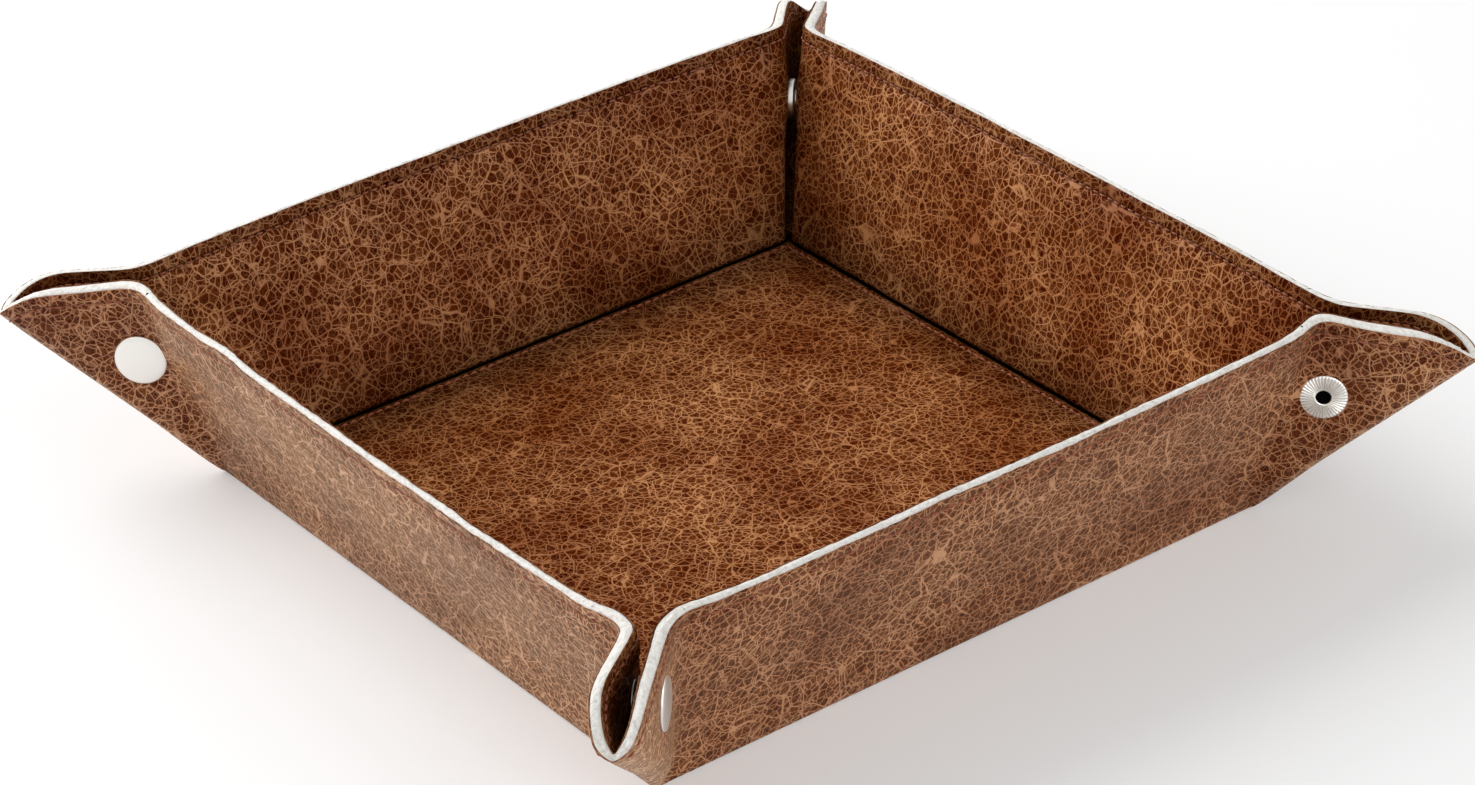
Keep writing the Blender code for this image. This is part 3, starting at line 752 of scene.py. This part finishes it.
def blendWall(obj):
    # the wall piece's place is baked into its mesh; the direction across its foot is worked out but not
    # used
    across = upWall - np.array([0.0, 1.0, 0.0])
    across = across / np.linalg.norm(across)
    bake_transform(obj)


def blendEar(obj, side):
    # the ear half's place is baked into its mesh; the ends of a bend across its fold line are worked out
    # but not used
    wallAcross = np.cos(foldLean) * alongX - np.sin(foldLean) * upWall
    across = wallAcross + outEar
    across = across / np.linalg.norm(across)
    ends = np.array([hingePoint - ears["foldBend"] * across, hingePoint + ears["foldBend"] * across])
    ends[:, 0] *= side
    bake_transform(obj)


def makeWall(quarter):
    # the flat patch of a wall: rows up the slope, and columns from border line to border line
    h = (rowHeights * sheet["wallHeight"])[:, None] + np.zeros(grid["wallColumns"])
    seamX = borderX(h) * np.linspace(-1, 1, grid["wallColumns"])
    for obj in makeLayers(f"{walls[quarter]}_wall", seamX, h, quarter):
        blendWall(obj)


def makeEar(quarter, ear, side):
    # the flat patch of an ear half, from the wall's border line to the diagonal crease
    seamX, h = earDomain(side)
    for obj in makeLayers(f"{walls[quarter]}_{ear}", seamX, h, quarter):
        blendEar(obj, side)


farFromRim = 99.0


def makeBase():
    # flat square whose edges run out or in to the walls' mitre and roll of padding, with a small
    # tongue left in each corner to close the foot of the ear
    inset = np.array(grid["baseEdges"])
    inner = np.linspace(grid["baseInner"], 2 * half - grid["baseInner"], grid["baseColumns"])
    line = np.concatenate([inset, inner, (2 * half - inset)[::-1]]) - half
    gx, gy = np.meshgrid(line, line, indexing="ij")
    insetX, insetY = half - np.abs(gx), half - np.abs(gy)
    nearest = np.minimum(insetX, insetY)
    tongue = np.exp(-(insetX ** 2 + insetY ** 2) / ears["creaseReach"] ** 2)
    uv = np.stack([gx, gy], -1)
    for layer, (low, high, bulge) in layers.items():
        surfaces = []
        for depth in (low, high):
            z = layerDepth(np.full_like(gx, farFromRim), nearest, gx, depth / sheet["thickness"], 0.0)
            pull = (z * mitre + sheet["seamGap"]) * (1 - tongue)
            roll = sheet["bottomRoll"] * (1 - z / sheet["thickness"])
            x, y = (g - np.sign(g) * (pull * np.clip(1 - near / sheet["mitreReach"], 0, 1) ** 2
                                      - roll * np.exp(-(near / sheet["rollReach"]) ** 2))
                    for g, near in ((gx, insetX), (gy, insetY)))
            surfaces.append(np.stack([x, y, z], -1))
        points, faces, index = slab(*surfaces, np.zeros((0, len(line), 3)))
        flatUv = slab(uv, uv, np.zeros((0, len(line), 2)))[0]
        ends = np.full(len(faces), layer == "core", np.int32)
        obj = makeMesh(f"base_{layer}_sheet", points, outward(points, faces), flatUv, layerLooks[layer],
                       "base", ends)
        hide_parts(f"base_{layer}")


makeBase()
for quarter in range(4):
    makeWall(quarter)
    makeEar(quarter, "stud_ear", 1)
    makeEar(quarter, "cap_ear", -1)
print("sheet made")


# Stitches
stitch = {
    "length": 2.5, "thread": 0.33, "rise": 0.3, "sides": 6, "rings": 6,
    "endSink": 0.55, "endThread": 0.55, "midThread": 0.45,    # in threads
    "rimEnd": 3.0,             # from the last stitch to the crease
    "baseInset": 5.6, "baseFrom": 7, "baseTo": 6,
}


def stitchMesh(point, across, normal, name, body):
    # each stitch is a short tube that arcs out of the leather and back, as whole arrays:
    # point, across and normal are per stitch, with the run along its length
    rings, sides = stitch["rings"], stitch["sides"]
    t = np.linspace(0, 1, rings)
    arc = np.sin(np.pi * t)
    run = (t - 0.5) * stitch["length"]
    lift = stitch["rise"] * arc - stitch["endSink"] * stitch["thread"] * (1 - arc)
    fat = stitch["thread"] * (stitch["endThread"] + stitch["midThread"] * arc)
    angle = np.linspace(0, 2 * np.pi, sides, endpoint=False)
    sideways = np.cross(normal, across)
    centre = (point[:, None] + run[None, :, None] * across[:, None]
              + lift[None, :, None] * normal[:, None])
    ring = (np.cos(angle)[None, None, :, None] * sideways[:, None, None]
            + np.sin(angle)[None, None, :, None] * normal[:, None, None])
    points = (centre[:, :, None] + fat[None, :, None, None] * ring).reshape(-1, 3)
    index = np.arange(rings * sides).reshape(rings, sides)
    caps = np.concatenate([index[:1, [0, 1, 2, 3]], index[:1, [0, 3, 4, 5]],
                           index[-1:, [3, 2, 1, 0]], index[-1:, [5, 4, 3, 0]]])
    one = np.concatenate([tubeFaces(index), caps[:, ::-1]])
    faces = (one[None] + (np.arange(len(point)) * rings * sides)[:, None, None]).reshape(-1, 4)
    return makeMesh(name, points, outward(points, faces), None, [thread], body)


def surfaceFrame(seamX, h, face, habit, quarter, runX, runH):
    # place, run and outward normal on a face of the sheet, by small differences
    step = 0.2
    f = np.full_like(seamX, face)
    place = sheetPoint(seamX, h, f, habit)
    ahead = sheetPoint(seamX + runX * step, h + runH * step, f, habit) - place
    aside = sheetPoint(seamX - runH * step, h + runX * step, f, habit) - place
    normal = np.cross(ahead, aside)
    ahead = ahead / np.linalg.norm(ahead, axis=-1, keepdims=True)
    normal = normal / np.linalg.norm(normal, axis=-1, keepdims=True)
    if face > 0.5:
        normal = -normal
    return spin(place, quarter), spin(ahead, quarter), spin(normal, quarter)


def rimStitches(quarter):
    # a row at an even pitch along the inset rim line, cut where the ears' panels begin
    wall = walls[quarter]
    habit = habits[wall]
    total = cornerStart + (sheet["cornerRadius"] - sheet["stitchInset"]) * np.pi / 4
    along = np.arange(sheet["stitchPitch"] / 2, total - stitch["rimEnd"], sheet["stitchPitch"])
    step = 0.5
    seamX, h = rimLine(along / total, sheet["stitchInset"])
    aheadX, aheadH = rimLine((along + step) / total, sheet["stitchInset"])
    runX, runH = (aheadX - seamX) / step, (aheadH - h) / step
    onWall = seamX < borderX(h)
    wallX = np.concatenate([-seamX[onWall][::-1], seamX[onWall]])
    wallH = np.concatenate([h[onWall][::-1], h[onWall]])
    for face, side in ((0.0, "outside"), (1.0, "inside")):
        lines = surfaceFrame(wallX, wallH, face, habit, quarter, np.ones_like(wallX), np.zeros_like(wallX))
        stitchMesh(*lines, f"{wall}_wall_rim_stitches_{side}", f"{wall}_wall")
        for ear, sign in (("stud_ear", 1), ("cap_ear", -1)):
            lines = surfaceFrame(seamX[~onWall] * sign, h[~onWall], face, habit, quarter,
                                 runX[~onWall] * sign, runH[~onWall])
            obj = stitchMesh(*lines, f"{wall}_{ear}_rim_stitches_{side}", None)
            blendEar(obj, sign)


def seamStitches():
    # the square sewn through all layers of the base
    inset = stitch["baseInset"]
    along = np.arange(-half + stitch["baseFrom"], half - stitch["baseTo"], sheet["stitchPitch"])
    for face, side in ((0.0, "underside"), (1.0, "floor")):
        z = layerDepth(np.full_like(along, farFromRim), np.full_like(along, inset), along, face, 0.0)
        line = np.stack([along, np.full_like(along, -half + inset), z], -1)
        run = np.tile(alongX, (len(along), 1))
        normal = np.tile([0.0, 0.0, 1.0 if face else -1.0], (4 * len(along), 1))
        stitchMesh(np.concatenate([spin(line, quarter) for quarter in range(4)]),
                   np.concatenate([spin(run, quarter) for quarter in range(4)]), normal,
                   f"base_stitches_{side}", "base")


for quarter in range(4):
    rimStitches(quarter)
seamStitches()
print("stitches made")


# Snaps
snap = {
    "capDiameter": 15.0, "capRise": 1.9, "capRim": 0.8, "capDome": 0.8, "capRows": 12,
    "capEdge": (0.05, 0.35), "capFoot": 0.97,            # drawn in at a height, and at the seat
    "barrel": 4.0, "seatGap": 0.1, "plate": 0.4, "rivet": 0.5, "rivetHead": 0.3, "play": 0.15,
    "postDiameter": 13.2, "postBarrel": 4.4, "postBore": 4.0, "postRise": 0.62,
    "ribs": 40, "ribDepth": 0.48, "ribLevel": 0.7, "ribFrom": (2.2, 0.5), "ribTo": 0.7,
    "socketDiameter": 12.4, "socketHeight": 2.0, "socketBore": 6.7, "socketRound": 0.15,
    "studDiameter": 10.4, "studHead": 6.2, "studHeight": 1.8, "studRound": 0.12,
    "springWire": 0.4, "springOpening": 50.0, "springRows": 60, "springSides": 10,
    "turns": 96, "ribTurns": 384,
}
seat, plate = snap["seatGap"], snap["plate"]
plateTop = seat + plate
capBarrel, postBarrel = snap["barrel"] / 2, snap["postBarrel"] / 2
headRadius = snap["studHead"] / 2
barrelEnd = -sheet["thickness"] - 3 * seat - plate    # through the sheet and the socket or stud
rivetEnd = barrelEnd - snap["rivetHead"]
leatherFace = (-sheet["thickness"], -1.0)             # height of the profile's zero, and its direction
innerFace = (0, 1.0)


def earFrame(quarter, side):
    # middle of the snap on the inner face of an ear half, two axes in it and the inward direction
    centre = hingePoint + ears["snapOut"] * outEar + ears["snapUp"] * alongFold
    mirror = np.array([side, 1.0, 1.0])
    axes = np.stack([outEar, -alongFold, -offPlane]) * mirror
    if side < 0:
        axes[0] = -axes[0]
    return spin(centre * mirror, quarter), spin(axes, quarter)


def earBody(quarter, side):
    # the ear half that a snap's piece is fixed to
    return f"{walls[quarter]}_{'stud' if side > 0 else 'cap'}_ear"


def lathe(node, form, profile, quarter, side, level, looks, ribs=None, paintedShadowRows=0):
    # radius and height carried round the snap's axis, in place of a CAD node; ribs add waves to
    # the height. A profile that starts on the axis ends on it too, and any other is closed.
    centre, axes = earFrame(quarter, side)
    angle = np.linspace(0, 2 * np.pi, snap["ribTurns" if ribs else "turns"], endpoint=False)
    radius, height = np.array(profile).T
    wave = ribs(radius[:, None], angle[None, :]) if ribs else np.zeros((len(radius), len(angle)))
    z = level[0] + level[1] * (height[:, None] + wave)
    r = np.maximum(radius, 0.001)[:, None]
    points = (centre + (r * np.cos(angle))[..., None] * axes[0] + (r * np.sin(angle))[..., None] * axes[1]
              + z[..., None] * axes[2]).reshape(-1, 3)
    index = np.arange(z.size).reshape(z.shape)
    faces = tubeFaces(index if radius[0] == 0 else np.concatenate([index, index[:1]]))
    # the first rows of faces take the second material, a black painted shadow
    dark = np.zeros(len(faces), np.int32)
    dark[:paintedShadowRows * len(angle)] = 1
    obj = makeMesh(f"{node}_{form}", points, outward(points, faces), None, looks, earBody(quarter, side),
                   dark)
    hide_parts(node)


def roundCorners(profile, size, most=0.35, steps=4):
    # cut each corner of a closed profile back by size, but not over most of a side, and join the
    # cuts with a short arc
    points = np.array(profile, float)
    before, after = np.roll(points, 1, 0) - points, np.roll(points, -1, 0) - points
    lengthB, lengthA = np.linalg.norm(before, axis=1), np.linalg.norm(after, axis=1)
    cut = np.minimum(size, most * np.minimum(lengthB, lengthA))[:, None]
    start = points + before / lengthB[:, None] * cut
    end = points + after / lengthA[:, None] * cut
    t = np.linspace(0, 1, steps)[None, :, None]
    arc = (1 - t) ** 2 * start[:, None] + 2 * t * (1 - t) * points[:, None] + t ** 2 * end[:, None]
    return arc.reshape(-1, 2)


def makeCap(corner, quarter):
    # shallow dome with a short upright rim, on a barrel that is riveted over inside the socket
    radius, rim = snap["capDiameter"] / 2, snap["capRim"]
    theta = np.linspace(0, np.pi / 2, snap["capRows"])[:-1]
    dome = [(radius * np.sin(x), rim + (snap["capRise"] - rim) * np.cos(x) ** snap["capDome"])
            for x in theta]
    drawn, height = snap["capEdge"]
    edge = [(radius, rim), (radius - drawn, height), (radius * snap["capFoot"], seat)]
    head = capBarrel + snap["rivet"]
    under = [(capBarrel, seat), (capBarrel, barrelEnd), (head, barrelEnd), (head, rivetEnd), (0, rivetEnd)]
    lathe(f"snap_cap_{corner}", "dome", dome + edge + under, quarter, -1, leatherFace, [satinNickel])


def makeSocket(corner, quarter):
    # pressed cup with its mouth turned in over the spring
    r, bore, hole = snap["socketDiameter"] / 2, snap["socketBore"] / 2, capBarrel + snap["play"]
    top, inner = seat + snap["socketHeight"], r - 2 * plate
    ring = [(r - plate, top), (r, top - plate), (r, seat), (hole, seat), (hole, plateTop),
            (inner, plateTop), (inner, top - plate), (bore, top - plate), (bore, top)]
    lathe(f"snap_socket_{corner}", "ring", roundCorners(ring, snap["socketRound"]), quarter, -1,
          innerFace, [pressedNickel])


def makeStud(corner, quarter):
    # hollow button on a flat brim
    brim, head, hole = snap["studDiameter"] / 2, headRadius, postBarrel + snap["play"]
    top, inner = seat + snap["studHeight"], head - plate
    button = [(inner - plate, top), (head - plate / 2, top), (head, top - plate),
              (head - plate / 2, plateTop), (brim, plateTop), (brim, seat), (hole, seat),
              (hole, plateTop), (inner, plateTop + plate / 4), (inner, top - plate),
              (inner - plate, top - plate)]
    lathe(f"snap_stud_{corner}", "button", roundCorners(button, snap["studRound"]), quarter, 1,
          innerFace, [pressedNickel])


def makePost(corner, quarter):
    # ribbed flange round a bore closed by a black disc of painted shadow, on a barrel that is riveted over
    # inside the stud
    r, bore, rise = snap["postDiameter"] / 2, snap["postBore"] / 2, snap["postRise"]
    crown = [(0, 0.04), (bore - 0.3, 0.04), (bore - 0.02, 0.06), (bore, 0.2), (bore + 0.08, 0.42),
             (bore + 0.3, rise)]
    crown += [(x, rise + 0.08 * np.sin((x - 2.6) * 1.2)) for x in np.linspace(2.5, r - 0.9, 12)]
    crown += [(r - 0.5, 0.6), (r - 0.15, 0.42), (r, 0.25), (r - 0.02, seat), (postBarrel, seat)]
    spread = headRadius - plate - snap["play"]
    crown += [(postBarrel, barrelEnd), (spread, barrelEnd), (spread, rivetEnd), (0, rivetEnd)]

    def ribWaves(radius, angle):
        # round ridges with sharp valleys, fading out at the bore and the edge
        band = smoothStep(radius, *snap["ribFrom"]) * smoothStep(r - 0.1 - radius, 0.0, snap["ribTo"])
        return band * snap["ribDepth"] * (np.abs(np.cos(snap["ribs"] * angle / 2)) - snap["ribLevel"])

    # the bore's floor and lip, its first four rows, are black painted shadow
    lathe(f"snap_post_{corner}", "flange", crown, quarter, 1, leatherFace, [satinNickel, paintedBoreShadow],
          ribWaves, 4)


def makeSpring(corner, quarter):
    # split ring of round wire inside the socket's mouth, its ends drawn to points
    centre, axes = earFrame(quarter, -1)
    opening = np.radians(snap["springOpening"])
    angle = np.linspace(opening / 2, 2 * np.pi - opening / 2, snap["springRows"])
    around = np.linspace(0, 2 * np.pi, snap["springSides"], endpoint=False)
    ringRadius = headRadius + snap["play"] + snap["springWire"]
    level = seat + snap["socketHeight"] - plate - snap["play"] - snap["springWire"] / 2
    out = np.cos(angle)[:, None] * axes[0] + np.sin(angle)[:, None] * axes[1]
    wire = snap["springWire"] / 2
    points = (centre + ringRadius * out[:, None] + level * axes[2]
              + wire * (np.cos(around)[None, :, None] * out[:, None]
                        + np.sin(around)[None, :, None] * axes[2]))
    tips = [np.broadcast_to(end.mean(1, keepdims=True), end.shape) for end in (points[:1], points[-1:])]
    points = np.concatenate([tips[0], points, tips[1]])
    index = np.arange(points.shape[0] * points.shape[1]).reshape(points.shape[:2])
    points, faces = points.reshape(-1, 3), tubeFaces(index)
    spring = makeMesh(f"snap_spring_{corner}_wire", points, outward(points, faces), None,
                      [pressedNickel], earBody(quarter, -1))
    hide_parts(f"snap_spring_{corner}")


for quarter, corner in enumerate(corners):
    nextQuarter = (quarter + 1) % 4    # the cap's half of a corner belongs to the next wall
    makeCap(corner, nextQuarter)
    makeSocket(corner, nextQuarter)
    makeStud(corner, quarter)
    makePost(corner, quarter)
    makeSpring(corner, nextQuarter)
print("snaps made")


# Flat cut of each panel

def flatCut(mesh):
    # width, length and area of a panel's part of the flat cut, from its UVs
    uv = np.zeros(len(mesh.loops) * 2, np.float32)
    mesh.uv_layers["flatSheet"].data.foreach_get("uv", uv)
    cut = (half + sheet["wallHeight"]) * metre
    corner = np.clip(uv.reshape(-1, 4, 2).astype(float), -cut, cut)
    one, two = corner[:, 2] - corner[:, 0], corner[:, 3] - corner[:, 1]
    # the diagonals' cross product is twice a quad's area, and the solid has two faces
    area = np.abs(one[:, 0] * two[:, 1] - one[:, 1] * two[:, 0]).sum() / 4
    size = np.ptp(corner.reshape(-1, 2), axis=0)
    return size.tolist(), float(min(area, size.prod()))


def declareSheets():
    # each panel of skins, stitches and the felt between is a part of one cut sheet; only its outer skin's
    # flat size and area are measured, and they are not kept
    panels = ["base"] + [f"{wall}_{part}" for wall in walls for part in ("wall", "stud_ear", "cap_ear")]
    for panel in panels:
        size, area = flatCut(bpy.data.objects[f"{panel}_outer_skin_sheet"].data)


declareSheets()


# Stage, lights and camera
studio = {
    "floor": "#fafafa", "shown": "#dedede", "lift": 0.26, "floorHalf": 6.0, "world": 0.35,
    "target": (0, 0, 0.02),
    "key": {"place": (-1.4, -0.7, 1.1), "size": 1.8, "power": 42.0},
    "fill": {"place": (1.45, 0.5, 0.95), "size": 1.4, "power": 12.5},
}


def makeFloor():
    # a pale matt square level with the underside
    size = studio["floorHalf"]
    mesh = bpy.data.meshes.new("floor")
    mesh.from_pydata([(-size, -size, 0), (size, -size, 0), (size, size, 0), (-size, size, 0)], [],
                     [(0, 1, 2, 3)])
    floor = bpy.data.objects.new("floor", mesh)
    bpy.context.scene.collection.objects.link(floor)
    material, tree, shader = newMaterial("pale floor")
    # the floor that the camera sees has part of its white as glow, so the shadow stays pale
    seen = addNode(tree, "ShaderNodeLightPath").outputs["Is Camera Ray"]
    colour = addNode(tree, "ShaderNodeMix", {"data_type": "RGBA", 6: linear(studio["floor"]),
                     7: linear(studio["shown"])}, {0: seen})
    glow = addNode(tree, "ShaderNodeMath", {"operation": "MULTIPLY", 1: studio["lift"]}, {0: seen})
    tree.links.new(colour.outputs[2], shader.inputs["Base Color"])
    tree.links.new(glow.outputs[0], shader.inputs["Emission Strength"])
    shader.inputs["Emission Color"].default_value = (1, 1, 1, 1)
    shader.inputs["Roughness"].default_value = 1.0
    shader.inputs["Specular IOR Level"].default_value = 0.0
    mesh.materials.append(material)


def makeWorld():
    # white to the camera and in reflections, and a dim even light on everything else
    world = bpy.data.worlds.new("studio")
    bpy.context.scene.world = world
    world.use_nodes = True
    tree = world.node_tree
    background = tree.nodes["Background"]
    path = addNode(tree, "ShaderNodeLightPath")
    shown = path.outputs["Is Camera Ray"]
    for kind in ("Is Glossy Ray", "Is Transmission Ray"):
        shown = addNode(tree, "ShaderNodeMath", {"operation": "MAXIMUM"},
                        {0: shown, 1: path.outputs[kind]}).outputs[0]
    level = addNode(tree, "ShaderNodeMapRange", {"To Min": studio["world"], "To Max": 1.0},
                    {"Value": shown})
    tree.links.new(level.outputs[0], background.inputs["Strength"])
    background.inputs["Color"].default_value = (1, 1, 1, 1)


def addLamp(name, look):
    # a round soft box turned to the basket
    lamp = bpy.data.lights.new(name, "AREA")
    lamp.shape = "DISK"
    lamp.size = look["size"]
    lamp.energy = look["power"]
    obj = bpy.data.objects.new(name, lamp)
    obj.location = look["place"]
    direction = Vector(np.array(studio["target"]) - np.array(look["place"]))
    obj.rotation_euler = direction.to_track_quat("-Z", "Y").to_euler()
    bpy.context.scene.collection.objects.link(obj)


# Fitted to the photograph: degrees, metres from the middle of the base, and the rest in its pixels
view = {"azimuth": 53.68, "elevation": 31.506, "roll": 2.53, "distance": 1.2835, "focal": 4609.8,
        "centreX": 730.76, "centreY": 489.04, "width": 1475.0, "height": 785.0}


def makeCamera():
    # looks back along the direction that azimuth and elevation give, rolled about it. The shifts
    # move the picture until the middle of the base falls where the fit has it.
    azimuth, elevation, roll = (np.radians(view[key]) for key in ("azimuth", "elevation", "roll"))
    back = np.array([np.sin(azimuth) * np.cos(elevation), -np.cos(azimuth) * np.cos(elevation),
                     np.sin(elevation)])
    right = np.array([np.cos(azimuth), np.sin(azimuth), 0.0])
    up = np.cross(back, right)
    rightRolled = np.cos(roll) * right - np.sin(roll) * up
    upRolled = np.sin(roll) * right + np.cos(roll) * up
    camera = bpy.data.cameras.new("camera")
    camera.lens = view["focal"] / view["width"] * camera.sensor_width
    camera.shift_x = (view["width"] / 2 - view["centreX"]) / view["width"]
    camera.shift_y = (view["centreY"] - view["height"] / 2) / view["width"]
    obj = bpy.data.objects.new("camera", camera)
    bpy.context.scene.collection.objects.link(obj)
    spot = back * view["distance"]
    obj.matrix_world = Matrix([[rightRolled[i], upRolled[i], back[i], spot[i]] for i in range(3)]
                              + [[0, 0, 0, 1]])
    bpy.context.scene.camera = obj


makeFloor()
makeWorld()
addLamp("key light", studio["key"])
addLamp("fill light", studio["fill"])
makeCamera()
bpy.context.scene.view_settings.view_transform = "Standard"
print("stage made")
